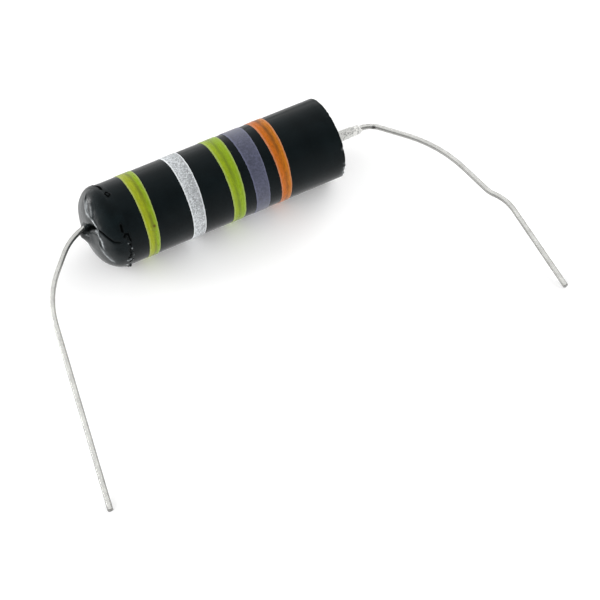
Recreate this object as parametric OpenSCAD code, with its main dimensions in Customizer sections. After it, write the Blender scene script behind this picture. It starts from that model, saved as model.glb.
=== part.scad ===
// Axial paper capacitor: a moulded tube with a resin dome at one end, a disc
// with a solder-filled eyelet at the other, a foil and paper winding inside,
// two bent tinned wires and five painted code bands.
// The body's axis is X, from the dome (-X) to the eyelet (+X). The origin is
// on that axis, halfway between the body's two ends. +Z is up.

/* [Case] */
// Outer diameter of the tube
case_d = 10; // [9:0.1:13]
// Length of the body from the top of the dome to the flat end
body_len = 32; // [30:0.5:44]
// Thickness of the tube's wall
case_wall = 0.9; // [0.6:0.05:1.2]
// How far the seat for the end disc is cut back into the wall
seat_step = 0.37; // [0.2:0.01:0.4]

/* [Dome end] */
// Length of the dome, from the tube's edge to its tip
dome_len = 3.5; // [3:0.1:4]
// Length of the dome's shoulder, along the body
shoulder_len = 2.7; // [2:0.1:2.8]
// How far the shoulder comes in towards the body's axis
shoulder_in = 3.7; // [3.3:0.1:3.9]
// Radius of the nub at its tip
nub_tip_r = 0.4; // [0.3:0.05:0.7]
// How far the resin reaches into the tube
plug_len = 1.9; // [1:0.1:2.5]
// Length of the thin skin of resin that laps over the tube's edge
skin_len = 0.45; // [0.3:0.05:0.9]
// Radius of the hollow beside the wire, at its mouth
dimple_r = 0.6; // [0.5:0.05:0.7]
// Depth of the hollow beside the wire
dimple_depth = 0.5; // [0.3:0.05:0.7]
// Distance of the hollow from the body's axis
dimple_in = 2.3; // [2.1:0.05:2.5]
// Where the hollow is, in degrees above the front
dimple_roll = 60; // [50:1:70]
// Thickness of the card washer that dams the resin
dam_t = 0.4; // [0.3:0.05:0.8]

/* [Flat end] */
// Thickness of the end disc
disc_t = 1.1; // [0.8:0.1:2]
// How far the eyelet stands out of the disc
eyelet_len = 4.3; // [2:0.1:5]
// Outer diameter of the eyelet where it leaves the disc
eyelet_base_d = 1.36; // [1.26:0.02:1.6]
// Outer diameter of the eyelet at its tip
eyelet_tip_d = 1.16; // [1.06:0.02:1.24]
// Inner diameter of the eyelet
eyelet_bore_d = 0.86; // [0.8:0.02:0.94]
// Diameter of the eyelet's flange, behind the disc
flange_d = 3; // [2.2:0.1:4]
// Thickness of the eyelet's flange
flange_t = 0.25; // [0.15:0.05:0.4]
// How far the eyelet and its wire sit off the body's axis
eyelet_off = 0.62; // [0:0.02:0.8]
// How far the solder reaches down inside the eyelet
solder_depth = 1.6; // [0.5:0.1:3]
// Height of the solder fillet on the eyelet's tip
fillet_h = 0.35; // [0.2:0.05:0.5]

/* [Winding] */
// Thickness of the paper wrap round the winding
wrap_wall = 0.28; // [0.15:0.01:0.5]
// How far the wrap runs past the winding at the dome end
dome_margin = 2; // [1.7:0.1:3]
// How far the wrap runs past the winding at the eyelet end
eyelet_margin = 1.9; // [1.7:0.1:3]
// Diameter of the hole that the winding mandrel leaves
mandrel_d = 1.2; // [0.8:0.1:1.6]
// Radial pitch of the foil edges that show on the winding's ends
foil_pitch = 0.5; // [0.4:0.05:0.8]
// Depth of the grooves between those foil edges
foil_groove = 0.12; // [0.05:0.01:0.2]
// Diameter of the solder that joins each wire to the foil
solder_d = 5.6; // [5.2:0.1:6.2]
// Height of that solder
solder_h = 1; // [0.8:0.1:1.3]

/* [Wires] */
// Diameter of the tinned copper wire
wire_d = 0.64; // [0.5:0.02:0.7]
// Bending radius where the wire leaves its pigtail
pigtail_bend = 0.7; // [0.6:0.05:0.8]
// Radius of the pigtail's first half turn
pigtail_r = 0.95; // [0.9:0.01:1.05]
// How much each half turn of the pigtail grows
pigtail_grow = 0.4; // [0.38:0.01:0.45]
// How far the wire at the dome end sits behind the body's axis
dome_wire_off = 0.76; // [0.6:0.02:0.9]
// How far the wire at the dome end sits above the body's axis
dome_wire_up = 0.82; // [0.6:0.02:0.9]
// How deep inside the dome's tip that wire's first bend starts
dome_wire_in = 2.3; // [2:0.1:2.6]
// Turn of that wire's first bend
dome_turn_1 = 47.3; // [40:0.1:50]
// Radius of that wire's first bend
dome_bend_1 = 7.1; // [6.5:0.1:9]
// Straight between that wire's two bends
dome_wire_mid = 2.5; // [1:0.1:6]
// Turn of that wire's second bend
dome_turn_2 = 31.8; // [30:0.1:40]
// Radius of that wire's second bend
dome_bend_2 = 12.4; // [6:0.1:15]
// Straight end of the wire at the dome end
dome_wire_end = 23.3; // [10:0.1:30]
// Straight wire between the eyelet's tip and the first bend
eyelet_wire_lead = 0.1; // [0.1:0.1:2]
// Turn of that wire's first bend
eyelet_turn_1 = 45.8; // [40:0.1:50]
// Radius of that wire's first bend
eyelet_bend_1 = 3.2; // [2.5:0.1:6]
// Straight between its first and second bends
eyelet_wire_mid = 3.4; // [1:0.1:6]
// Turn of that wire's second bend
eyelet_turn_2 = 31.4; // [25:0.1:36]
// Radius of that wire's second bend
eyelet_bend_2 = 14.7; // [6:0.1:18]
// Straight between its second bend and its kink
kink_lead = 3.9; // [1:0.1:6]
// How far the kink turns the wire back outwards
kink_turn = 22; // [0.5:0.1:30]
// Radius of the kink
kink_bend = 2.5; // [2:0.1:5]
// Straight between the kink and the last bend
kink_gap = 0.3; // [0.2:0.05:2]
// Turn of that wire's last bend
eyelet_turn_3 = 35.2; // [25:0.1:40]
// Radius of that wire's last bend
eyelet_bend_3 = 4.8; // [2.5:0.1:8]
// Straight end of the wire at the eyelet end
eyelet_wire_end = 11.6; // [6:0.1:30]

/* [Bands] */
// Thickness of the paint
band_t = 0.05; // [0.03:0.01:0.1]
// Where the slanted bands are narrowest, in degrees below the front
band_roll = 39; // [0:1:90]
// Centre of the outer yellow band, from the tube's edge at the dome
outer_yellow_in = 3.53; // [2:0.01:5]
// Width of the outer yellow band
outer_yellow_w = 1.56; // [1:0.01:2]
// Centre of the silver band, from the tube's edge at the dome
silver_in = 9.29; // [8:0.01:10]
// Width of the silver band
silver_w = 1.78; // [1:0.01:2.2]
// Centre of the inner yellow band, from the flat end
inner_yellow_in = 14; // [13.8:0.01:14.5]
// Width of the inner yellow band
inner_yellow_w = 1.75; // [1:0.01:2]
// Centre of the violet band, from the flat end
violet_in = 10.98; // [10.8:0.01:11.2]
// Width of the violet band
violet_w = 1.98; // [1:0.01:2.2]
// Centre of the orange band, from the flat end
orange_in = 7.85; // [6:0.01:8.1]
// Width of the orange band
orange_w = 1.58; // [1:0.01:2.2]

/* [Fits] */
// Radial clearance between pieces that slide together
fit = 0.02; // [0.01:0.01:0.04]

/* [Hidden] */
$fn = 96;
// Wire thins a little where it is bent, and each straight length laps over its bends
bend_thin = 0.004;
bend_lap = 0.04;

case_r = case_d / 2;
bore_r = case_r - case_wall;
seat_r = bore_r + seat_step;
floor_r = case_r + band_t;
wire_r = wire_d / 2;
wire_hole_r = wire_r + fit;

// Stations along the body's axis, from the dome to the eyelet
dome_top_x = -body_len / 2;
tube_x = dome_top_x + dome_len;
plug_x = tube_x + plug_len;
wrap_x = plug_x + dam_t;
winding_x = wrap_x + dome_margin;
flat_x = body_len / 2;
disc_x = flat_x - disc_t;
winding_end_x = disc_x - eyelet_margin;
eyelet_tip_x = flat_x + eyelet_len;

// Each wire's bends, in its own flat plane: straight length, turn in degrees, bending radius
DOME_BENDS = [[0, dome_turn_1, dome_bend_1],
              [dome_wire_mid, dome_turn_2, dome_bend_2],
              [dome_wire_end, 0, 0]];
EYELET_BENDS = [[eyelet_wire_lead, eyelet_turn_1, eyelet_bend_1],
                [eyelet_wire_mid, eyelet_turn_2, eyelet_bend_2],
                [kink_lead, -kink_turn, kink_bend],
                [kink_gap, eyelet_turn_3, eyelet_bend_3],
                [eyelet_wire_end, 0, 0]];
dome_bends_x = dome_top_x + dome_wire_in;

// Turns a point of a plane by an angle
function turned(p, a) = [p.x * cos(a) - p.y * sin(a), p.x * sin(a) + p.y * cos(a)];
// End of one step, from its start: along the straight, then round the arc
function step_end(s) = [s.x, 0] + s.z * [sin(abs(s.y)), sign(s.y) * (1 - cos(s.y))];
// End of a whole run of bends
function run_end(bends, i = 0, p = [0, 0], heading = 0) =
    i == len(bends) ? p
    : run_end(bends, i + 1, p + turned(step_end(bends[i]), heading), heading + bends[i].y);
// Tilt of a wire's plane that sets the lower edge of its tip on the floor
function droop(reach, up) = asin(floor_r / norm([reach, up - wire_r])) + atan((up - wire_r) / reach);

dome_droop = droop(run_end(DOME_BENDS).y - dome_wire_off, dome_wire_up);
eyelet_droop = droop(run_end(EYELET_BENDS).y + eyelet_off, 0);

module along_x(x, len, r) {
    translate([x, 0, 0]) rotate([0, 90, 0]) cylinder(h = len, r = r);
}

module ring_x(x, len, outer, inner) {
    difference() {
        along_x(x, len, outer);
        along_x(x - 1, len + 2, inner);
    }
}

// Spins a profile about X: the profile's x runs along the axis, its y is the radius
module spun_x() {
    rotate([0, 90, 0]) rotate_extrude() rotate([0, 0, 90]) mirror([0, 1]) children();
}

// One arc of wire that starts at the origin along +X and turns towards +Y
module wire_arc(turn, radius) {
    translate([0, radius, 0]) rotate([0, 0, -90]) rotate_extrude(angle = turn)
        translate([radius, 0]) circle(r = wire_r - bend_thin, $fn = 32);
}

// A run of straight lengths and arcs, each starting where the last one ends
module wire_run(bends, back, i = 0) {
    if (i < len(bends)) {
        s = bends[i];
        end = step_end(s);
        behind = i == 0 ? back : bend_lap;
        ahead = s.y == 0 ? 0 : bend_lap;
        along_x(-behind, behind + s.x + ahead, wire_r, $fn = 32);
        if (s.y != 0) translate([s.x, 0, 0]) mirror([0, s.y < 0 ? 1 : 0, 0]) wire_arc(abs(s.y), s.z);
        translate([end.x, end.y, 0]) rotate([0, 0, s.y]) wire_run(bends, back, i + 1);
    }
}

// A flat pigtail that starts at the origin along -X: a bend, then half turns that grow outwards.
// The first half turn goes to +Y when side is 0 and to -Y when side is 1.
module wire_pigtail(side) {
    grow = pigtail_grow;
    rotate([90, 0, 0]) mirror([1, 0, 0]) wire_arc(90, pigtail_bend);
    translate([-pigtail_bend, 0, pigtail_bend]) rotate([0, -90, 0]) mirror([0, side, 0]) {
        wire_arc(180, pigtail_r);
        translate([0, 2 * pigtail_r, 0]) mirror([1, 0, 0]) mirror([0, 1, 0])
            wire_arc(180, pigtail_r + grow);
        translate([0, -2 * grow, 0]) wire_arc(180, pigtail_r + 2 * grow);
    }
}

// A whole wire: its bends, the straight behind them down to the winding, and the pigtail
module wire(bends, depth, side) {
    run = depth - pigtail_bend - wire_r - fit;
    wire_run(bends, run + bend_lap);
    translate([-run, 0, 0]) wire_pigtail(side);
}

// Places children in the plane of the dome's wire, with X pointing out of the dome
module dome_plane() {
    rotate([dome_droop, 0, 0]) translate([dome_bends_x, dome_wire_off, dome_wire_up]) rotate([0, 0, 180])
        children();
}

// Places children in the plane of the eyelet's wire, with X pointing out of the eyelet
module eyelet_plane() {
    rotate([180 + eyelet_droop, 0, 0]) translate([eyelet_tip_x, eyelet_off, 0]) children();
}

module case_tube() {
    color([0.08, 0.1, 0.1]) difference() {
        along_x(tube_x, flat_x - tube_x, case_r);
        along_x(tube_x - 1, body_len, bore_r);
        along_x(disc_x, disc_t + 1, seat_r);
    }
}

// Half section of the dome: nub, elliptical shoulder, skin over the tube, plug in the bore
module dome_profile() {
    polygon(concat([[dome_top_x, 0], [dome_top_x, nub_tip_r]],
        [for (a = [90:-5:0]) [tube_x - shoulder_len * sin(a), floor_r - shoulder_in * (1 - cos(a))]],
        [[tube_x + skin_len, floor_r], [tube_x + skin_len, case_r], [tube_x, case_r],
         [tube_x, bore_r - fit], [plug_x, bore_r - fit], [plug_x, 0]]));
}

// The resin is cast round the wire, so the wire's own shape is left out of it
module dome_seal() {
    mouth_x = tube_x - shoulder_len;
    color([0.09, 0.11, 0.12]) difference() {
        spun_x() dome_profile();
        dome_wire_shape();
        rotate([-dimple_roll, 0, 0]) translate([mouth_x, -dimple_in, 0]) {
            along_x(-1, 1, dimple_r, $fn = 32);
            rotate([0, 90, 0]) cylinder(h = dimple_depth, r1 = dimple_r, r2 = dimple_r / 2, $fn = 32);
        }
    }
}

module dam_washer() {
    color([0.55, 0.45, 0.3]) difference() {
        along_x(plug_x, dam_t, bore_r - fit);
        dome_plane() along_x(-body_len / 2, body_len, wire_hole_r, $fn = 32);
    }
}

module end_disc() {
    color([0.07, 0.09, 0.09]) difference() {
        along_x(disc_x, disc_t, seat_r - fit);
        eyelet_plane() along_x(-eyelet_len - disc_t - 1, disc_t + 2, eyelet_base_d / 2 + fit);
    }
}

// The eyelet's frame has its tip at x = 0
module eyelet() {
    disc_face = -eyelet_len;
    flange_face = disc_face - disc_t;
    color([0.78, 0.78, 0.74]) eyelet_plane() spun_x() polygon([
        [0, eyelet_bore_d / 2], [0, eyelet_tip_d / 2],
        [disc_face, eyelet_base_d / 2], [flange_face, eyelet_base_d / 2],
        [flange_face, flange_d / 2], [flange_face - flange_t, flange_d / 2],
        [flange_face - flange_t, eyelet_bore_d / 2]]);
}

module eyelet_solder() {
    edge = 0.06;
    plug_r = eyelet_bore_d / 2 - fit / 2;
    color([0.82, 0.82, 0.78]) eyelet_plane() spun_x() polygon([
        [-solder_depth, wire_hole_r], [-solder_depth, plug_r], [0, plug_r],
        [0, eyelet_tip_d / 2], [fillet_h, wire_hole_r + edge], [fillet_h, wire_hole_r]]);
}

// Rings between the foil edges, cut into one end of the winding
module foil_grooves(x) {
    turns = floor((bore_r - wrap_wall - mandrel_d / 2) / foil_pitch) - 1;
    for (k = [0:turns - 1])
        ring_x(x, 2 * foil_groove, mandrel_d / 2 + (k + 0.8) * foil_pitch,
               mandrel_d / 2 + (k + 0.5) * foil_pitch);
}

module winding() {
    color([0.75, 0.75, 0.7]) difference() {
        along_x(winding_x, winding_end_x - winding_x, bore_r - wrap_wall - 2 * fit);
        along_x(winding_x - 1, body_len, mandrel_d / 2);
        foil_grooves(winding_x - foil_groove);
        foil_grooves(winding_end_x - foil_groove);
    }
}

module winding_wrap() {
    color([0.8, 0.7, 0.5]) ring_x(wrap_x, disc_x - wrap_x, bore_r - fit, bore_r - fit - wrap_wall);
}

// Solder over each pigtail, with the wire's own shape left out of it
module dome_solder_cap() {
    color([0.7, 0.7, 0.7]) difference() {
        along_x(winding_x - solder_h, solder_h, solder_d / 2);
        dome_wire_shape();
    }
}

module eyelet_solder_cap() {
    color([0.7, 0.7, 0.7]) difference() {
        along_x(winding_end_x, solder_h, solder_d / 2);
        eyelet_wire_shape();
    }
}

module dome_wire_shape() {
    dome_plane() wire(DOME_BENDS, winding_x - dome_bends_x, 0);
}

module eyelet_wire_shape() {
    eyelet_plane() wire(EYELET_BENDS, eyelet_tip_x - winding_end_x, 1);
}

module dome_wire() {
    color([0.75, 0.74, 0.7]) dome_wire_shape();
}

module eyelet_wire() {
    color([0.75, 0.74, 0.7]) eyelet_wire_shape();
}

// A painted ring whose edges lean by slant_a and slant_b, in millimetres over the tube's radius
module band(x, width, slant_a, slant_b) {
    big = 2 * case_d;
    rotate([band_roll, 0, 0]) intersection() {
        ring_x(x - width, 2 * width, floor_r, case_r);
        translate([x - width / 2, 0, 0]) rotate([0, 0, atan(slant_a / case_r)])
            translate([0, -big / 2, -big / 2]) cube(big);
        translate([x + width / 2, 0, 0]) rotate([0, 0, atan(slant_b / case_r)])
            translate([-big, -big / 2, -big / 2]) cube(big);
    }
}

module band_outer_yellow() {
    color([0.6, 0.7, 0.12]) band(tube_x + outer_yellow_in, outer_yellow_w, -0.03, -0.3);
}

module band_silver() {
    color([0.66, 0.69, 0.7]) band(tube_x + silver_in, silver_w, -0.02, -0.25);
}

module band_inner_yellow() {
    color([0.6, 0.7, 0.12]) band(flat_x - inner_yellow_in, inner_yellow_w, 0.03, -0.23);
}

module band_violet() {
    color([0.29, 0.3, 0.39]) band(flat_x - violet_in, violet_w, 0.09, -0.19);
}

module band_orange() {
    color([0.72, 0.4, 0.1]) band(flat_x - orange_in, orange_w, 0.1, -0.26);
}

case_tube();
dome_seal();
dam_washer();
end_disc();
eyelet();
eyelet_solder();
winding();
winding_wrap();
dome_solder_cap();
eyelet_solder_cap();
dome_wire();
eyelet_wire();
band_outer_yellow();
band_silver();
band_inner_yellow();
band_violet();
band_orange();
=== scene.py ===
"""Paper capacitor: a black tube with a resin dome, a soldered eyelet, painted code bands and bent wires."""

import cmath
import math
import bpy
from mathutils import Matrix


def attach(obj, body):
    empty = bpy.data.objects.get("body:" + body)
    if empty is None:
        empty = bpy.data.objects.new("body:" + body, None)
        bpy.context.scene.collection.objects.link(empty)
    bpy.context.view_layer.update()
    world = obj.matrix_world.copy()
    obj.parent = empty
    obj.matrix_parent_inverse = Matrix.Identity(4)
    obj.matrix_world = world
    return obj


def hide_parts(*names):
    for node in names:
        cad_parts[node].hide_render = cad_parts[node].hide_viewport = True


bl_info = {
    "name": "Paper Capacitor",
    "version": (1, 0, 0),
    "blender": (4, 5, 0),
    "location": "3D View > Sidebar > Capacitor",
    "description": "Builds an axial paper capacitor round its fixed frame",
    "category": "Add Mesh",
}

import bmesh
import bpy
from mathutils import Matrix, Vector, noise

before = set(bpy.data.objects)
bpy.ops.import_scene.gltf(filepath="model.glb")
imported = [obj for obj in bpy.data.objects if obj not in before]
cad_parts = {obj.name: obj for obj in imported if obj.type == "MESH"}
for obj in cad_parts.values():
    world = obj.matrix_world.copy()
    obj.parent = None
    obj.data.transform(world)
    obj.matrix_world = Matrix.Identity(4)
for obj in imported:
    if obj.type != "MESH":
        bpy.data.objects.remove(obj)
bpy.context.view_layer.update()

MM = 0.001
TURN = 2 * math.pi
WHITE = (1, 1, 1, 1)
BARE_WIRES = "bare_wires"

# Radii, lengths and stations along the body's axis, in millimetres
CASE_R = 5.0
BORE_R = 4.1
SEAT_R = 4.47
PAINT_T = 0.05
FLOOR_R = CASE_R + PAINT_T
TUBE_X = -12.5
FLAT_X = 16.0
RIM_LEN = 0.3
DISC_T = 1.1
WINDING_ENDS = (-8.2, 13.0)

PLUG_X = -10.6
SKIN_END_X = -11.5
SKIN_T = 0.05
NUB_LEN = 3.5
SHOULDER_LEN = 2.7
SHOULDER_IN = 3.7
# The nub leans back and up from the body's axis
LEAN = 0.32 * Vector((0, 0.779, 0.628))

EYELET_LEN = 4.3
EYELET_TIP_X = FLAT_X + EYELET_LEN
EYELET_OFF = 0.62
FLANGE_R = 1.5
FLANGE_T = 0.25
EYELET_BORE_R = 0.43
SOLDER_DEPTH = 1.6
SOLDER_SHADOW_SPOT = (21.95, -1.3, -0.05)

WIRE_R = 0.32
DOME_WIRE_X = -13.7
DOME_WIRE_OFF = 0.76
DOME_WIRE_UP = 0.82
WIRE_ROOT = (-14.0, 0.7, 0.8)
PIGTAIL_BEND = 0.7
PIGTAIL_LIFT = 0.34
# Rounding of a cut wire end: steps ahead, and how far each shrinks the ring
CUT_END = ((0.05, 0.93), (0.03, 0.8))

# Bends of each wire in its own flat plane: straight length, turn in degrees, bending radius
DOME_BENDS = ((0, 47.3, 7.1), (2.5, 31.8, 12.4), (23.3, 0, 0))
EYELET_BENDS = ((0.1, 45.8, 3.2), (3.4, 31.4, 14.7), (3.9, -22, 2.5), (0.3, 35.2, 4.8), (11.6, 0, 0))

# Bands: piece, frame node, slot, centre, width, lean of the left edge and of the right edge
BANDS = (
    ("yellow_band_outer", "band_outer_yellow", "yellow_paint", -8.97, 1.56, -0.03, -0.3),
    ("silver_band", "band_silver", "silver_paint", -3.21, 1.78, -0.02, -0.25),
    ("yellow_band_inner", "band_inner_yellow", "yellow_paint", 2.0, 1.75, 0.03, -0.23),
    ("violet_band", "band_violet", "violet_paint", 5.02, 1.98, 0.09, -0.19),
    ("orange_band", "band_orange", "orange_paint", 8.15, 1.58, 0.1, -0.26),
)
# The bands' edges lean most at this angle under the front
BAND_ROLL = 39
# A brown speck in the paint of the outer yellow band
SPECK = (-8.75, -4.4, 2.42)

# Lamps in metres: name, place, size, share of the lamp brightness, whether gloss mirrors it
LAMPS = (
    ("left_soft_box", (-0.5, -0.05, 0.22), (0.9, 0.42), 1.0, False),
    ("right_soft_box", (0.5, -0.05, 0.22), (0.9, 0.42), 1.0, False),
    ("back_left_box", (-0.42, 0.3, 0.2), (0.3, 0.3), 1.5, False),
    ("back_right_box", (0.42, 0.3, 0.2), (0.3, 0.3), 1.5, False),
    ("left_strip", (-0.383, 0.321, 0.014), (0.3, 0.02), 2.7, True),
)
# Grey levels that gloss sees in the board, from front to back, and in the tent, from low to high
BOARD_LEVELS = ((0.0, 0.12), (0.5, 0.2), (0.6, 0.26), (0.65, 0.38), (0.69, 0.5), (0.75, 0.56), (1.0, 0.62))
TENT_LEVELS = ((0.0, 0.72), (0.18, 0.5), (0.4, 0.34), (0.65, 0.24), (0.85, 0.17), (1.0, 0.16))
BACKDROP_WAY = (-0.743, 0.669, 0)

# Camera: place in millimetres, and the ways that its back and its right side face
CAMERA_AT = (-65.70, -141.16, 175.38)
CAMERA_BACK = (-0.3005, -0.5418, 0.7850)
CAMERA_RIGHT = (0.8745, -0.4850, 0)


def srgb(code):
    """An sRGB hex colour as linear red, green and blue."""
    parts = [int(code[i:i + 2], 16) / 255 for i in (1, 3, 5)]
    return tuple(c / 12.92 if c <= 0.04045 else ((c + 0.055) / 1.055) ** 2.4 for c in parts)


# ---------------------------------------------------------------- settings

def length_setting(name, description, millimetres):
    return bpy.props.FloatProperty(name=name, description=description, default=millimetres * MM,
                                   unit="LENGTH", precision=6)


def colour_setting(name, description, code):
    return bpy.props.FloatVectorProperty(name=name, description=description, default=srgb(code),
                                         size=3, subtype="COLOR")


def level_setting(name, description, level):
    return bpy.props.FloatProperty(name=name, description=description, default=level, min=0.0)


class CapacitorBody(bpy.types.PropertyGroup):
    radius: length_setting("Tube radius", "Outer radius of the black tube", CASE_R)
    waviness: length_setting("Waviness", "How far the moulded tube strays from a true cylinder", 0.012)
    black: colour_setting("Case black", "Colour of the moulded phenolic tube", "#0c1315")
    resin: colour_setting("Resin black", "Colour of the poured resin dome", "#0d1416")


class CapacitorPaint(bpy.types.PropertyGroup):
    thickness: length_setting("Paint thickness", "How far the paint stands on the tube", PAINT_T)
    yellow: colour_setting("Yellow", "Colour of the two yellow bands", "#939e12")
    silver: colour_setting("Silver", "Colour of the silver band", "#c8cccf")
    violet: colour_setting("Violet", "Colour of the violet band", "#43465b")
    orange: colour_setting("Orange", "Colour of the orange band", "#b8600c")


class CapacitorWires(bpy.types.PropertyGroup):
    radius: length_setting("Wire radius", "Radius of the tinned copper wires", WIRE_R)
    tin: colour_setting("Tin", "Colour of the tinned metal", "#ecece8")


class CapacitorStage(bpy.types.PropertyGroup):
    floor: colour_setting("Floor", "Colour of the table under the capacitor", "#f4f4f4")
    lamp: level_setting("Lamp brightness", "Brightness of the faces of the two side boxes", 2.2)
    glow: level_setting("Board glow", "Light added to the board where the camera sees it", 0.12)
    under: level_setting("Board light", "Light that the board itself gives to the capacitor", 0.6)
    card: level_setting("Wire card", "Brightness of the card that hangs over the bare wires", 0.6)
    tent: level_setting("Tent light", "Even light from the white cloth tent round the table", 0.5)


# ---------------------------------------------------------------- mesh helpers

def make_piece(bm, name, material, slot, *nodes):
    """Turns a bmesh in millimetres into a piece in metres, which rides on the body for its frame nodes."""
    bmesh.ops.remove_doubles(bm, verts=bm.verts, dist=1e-5)
    bmesh.ops.recalc_face_normals(bm, faces=bm.faces)
    bmesh.ops.scale(bm, vec=(MM, MM, MM), verts=bm.verts)
    for face in bm.faces:
        face.smooth = True
    mesh = bpy.data.meshes.new(name)
    bm.to_mesh(mesh)
    bm.free()
    mesh.materials.append(material)
    obj = bpy.data.objects.new(name, mesh)
    bpy.context.scene.collection.objects.link(obj)
    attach(obj, "root")
    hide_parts(*nodes)
    return obj


def spun(profile, steps, closed=False):
    """A bmesh of a profile of (x, radius) points spun round the X axis."""
    bm = bmesh.new()
    verts = [bm.verts.new((x, 0.0, r)) for x, r in profile]
    pairs = list(zip(verts, verts[1:]))
    if closed:
        pairs.append((verts[-1], verts[0]))
    for a, b in pairs:
        bm.edges.new((a, b))
    bmesh.ops.spin(bm, geom=bm.verts[:] + bm.edges[:], cent=(0, 0, 0), axis=(1, 0, 0), dvec=(0, 0, 0),
                   angle=TURN, steps=steps, use_merge=True)
    bmesh.ops.remove_doubles(bm, verts=bm.verts, dist=1e-5)
    return bm


def ring_of_edges(bm, x, radius, segments, off=(0, 0)):
    """Adds a circle across the X axis, and gives back its edges."""
    place = Matrix.Translation((x, *off)) @ Matrix.Rotation(math.pi / 2, 4, "Y")
    made = bmesh.ops.create_circle(bm, segments=segments, radius=radius, matrix=place)
    return {e for v in made["verts"] for e in v.link_edges}


def spread(a, b, step):
    """Evenly spaced values from a to b, both included, about a step apart."""
    n = max(1, round(abs(b - a) / step))
    return [a + (b - a) * i / n for i in range(n + 1)]


def smoothstep(a, b, v):
    """0 at a and 1 at b, with a smooth start and end."""
    t = min(1.0, max(0.0, (v - a) / (b - a)))
    return t * t * (3 - 2 * t)


def bell(distance, width):
    """1 at no distance, falling off over a width."""
    return math.exp(-(distance / width) ** 2)


def wobble(x, y, z):
    """Smooth noise between about -1 and 1."""
    return noise.noise(Vector((x, y, z)))


def around(co):
    """Angle round the body in degrees: 0 at the front, 90 at the top."""
    return math.degrees(math.atan2(co.z, -co.y))


def outward(co):
    """The way straight out from the body's axis."""
    return Vector((0, co.y, co.z)).normalized()


def table(points, v):
    """Straight-line look-up in a table of (value, result) pairs."""
    if v <= points[0][0]:
        return points[0][1]
    for (a, p), (b, q) in zip(points, points[1:]):
        if v <= b:
            return p + (q - p) * (v - a) / (b - a)
    return points[-1][1]


class Seam:
    """A line of points in millimetres with a soft falloff round it."""

    def __init__(self, *points):
        self.points = [Vector(p) for p in points]
        self.low = [min(p[i] for p in self.points) for i in range(3)]
        self.high = [max(p[i] for p in self.points) for i in range(3)]

    def near(self, co, reach):
        """Whether a point is within reach of the box round the line."""
        return all(low - reach <= c <= high + reach for low, c, high in zip(self.low, co, self.high))

    def measure(self, co):
        """Distance to the line and the share of its length at the nearest point."""
        best, share, n = 1e9, 0.0, len(self.points) - 1
        for i, (a, b) in enumerate(zip(self.points, self.points[1:])):
            ab = b - a
            t = min(1.0, max(0.0, (co - a).dot(ab) / ab.length_squared))
            d = (co - a - ab * t).length
            if d < best:
                best, share = d, (i + t) / n
        return best, share

    def weight(self, co, width, taper=0.15):
        """1 on the line, falling off over its width and towards its ends."""
        if not self.near(co, 3 * width):
            return 0.0
        d, s = self.measure(co)
        ends = 1.0 if taper <= 0 else smoothstep(0, taper, s) * smoothstep(0, taper, 1 - s)
        return bell(d, width) * ends


# ---------------------------------------------------------------- material helpers

def fill(tree, socket, value):
    """Gives a socket a value, or a link from another socket or from a node's first output."""
    if isinstance(value, bpy.types.Node):
        value = value.outputs[0]
    if isinstance(value, bpy.types.NodeSocket):
        tree.links.new(value, socket)
    else:
        socket.default_value = value


def add(tree, kind, inputs=(), **settings):
    """Adds a shader node with its settings, and fills its inputs by name or in order."""
    node = tree.nodes.new("ShaderNode" + kind)
    for key, value in settings.items():
        setattr(node, key, value)
    for key, value in inputs.items() if isinstance(inputs, dict) else enumerate(inputs):
        fill(tree, node.inputs[key], value)
    return node


def empty_tree(owner):
    """The node tree of a new material or world, with nothing in it."""
    owner.use_nodes = True
    owner.node_tree.nodes.clear()
    return owner.node_tree


def start_material(name, values):
    """A new material: its tree, its Principled shader and object coordinates in millimetres."""
    mat = bpy.data.materials.new(name)
    tree = empty_tree(mat)
    shader = add(tree, "BsdfPrincipled", values)
    add(tree, "OutputMaterial", (shader,))
    place = add(tree, "TexCoord").outputs["Object"]
    mm = add(tree, "Mapping", {"Vector": place, "Scale": (1 / MM, 1 / MM, 1 / MM)})
    return mat, tree, shader, mm


def finish_material(mat, shader, sockets, height, strength, depth, under=None):
    """Fills the shader's sockets, and adds a bump of a depth in millimetres over the one under it."""
    bump = {"Strength": strength, "Distance": depth * MM, "Height": height}
    if under:
        bump["Normal"] = under
    sockets["Normal"] = add(mat.node_tree, "Bump", bump)
    for key, value in sockets.items():
        fill(mat.node_tree, shader.inputs[key], value)
    return mat


def rgba(colour):
    return (*colour, 1.0)


def shade(colour, k):
    """A colour made darker or lighter."""
    return rgba(c * k for c in colour)


def tinted(colour, *by):
    """A colour with its red, green and blue each scaled."""
    return tuple(c * k for c, k in zip(colour, by))


def lay(tree, tone, colour, pattern, low=0, high=1, share=1):
    """Lays a colour over a tone, up to a share of it as a pattern goes from low to high."""
    amount = add(tree, "MapRange", (pattern, low, high, 0, share))
    return add(tree, "Mix", {0: amount, 6: tone, 7: colour}, data_type="RGBA").outputs[2]


def lay_rim_highlight(tree, tone, highlight, across, share, start):
    """Lays a painted highlight, a paler line, along both edges of a band."""
    out = add(tree, "Math", (across,), operation="ABSOLUTE")
    return lay(tree, tone, highlight, out, start, start + 0.14, share)


# ---------------------------------------------------------------- materials

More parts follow.
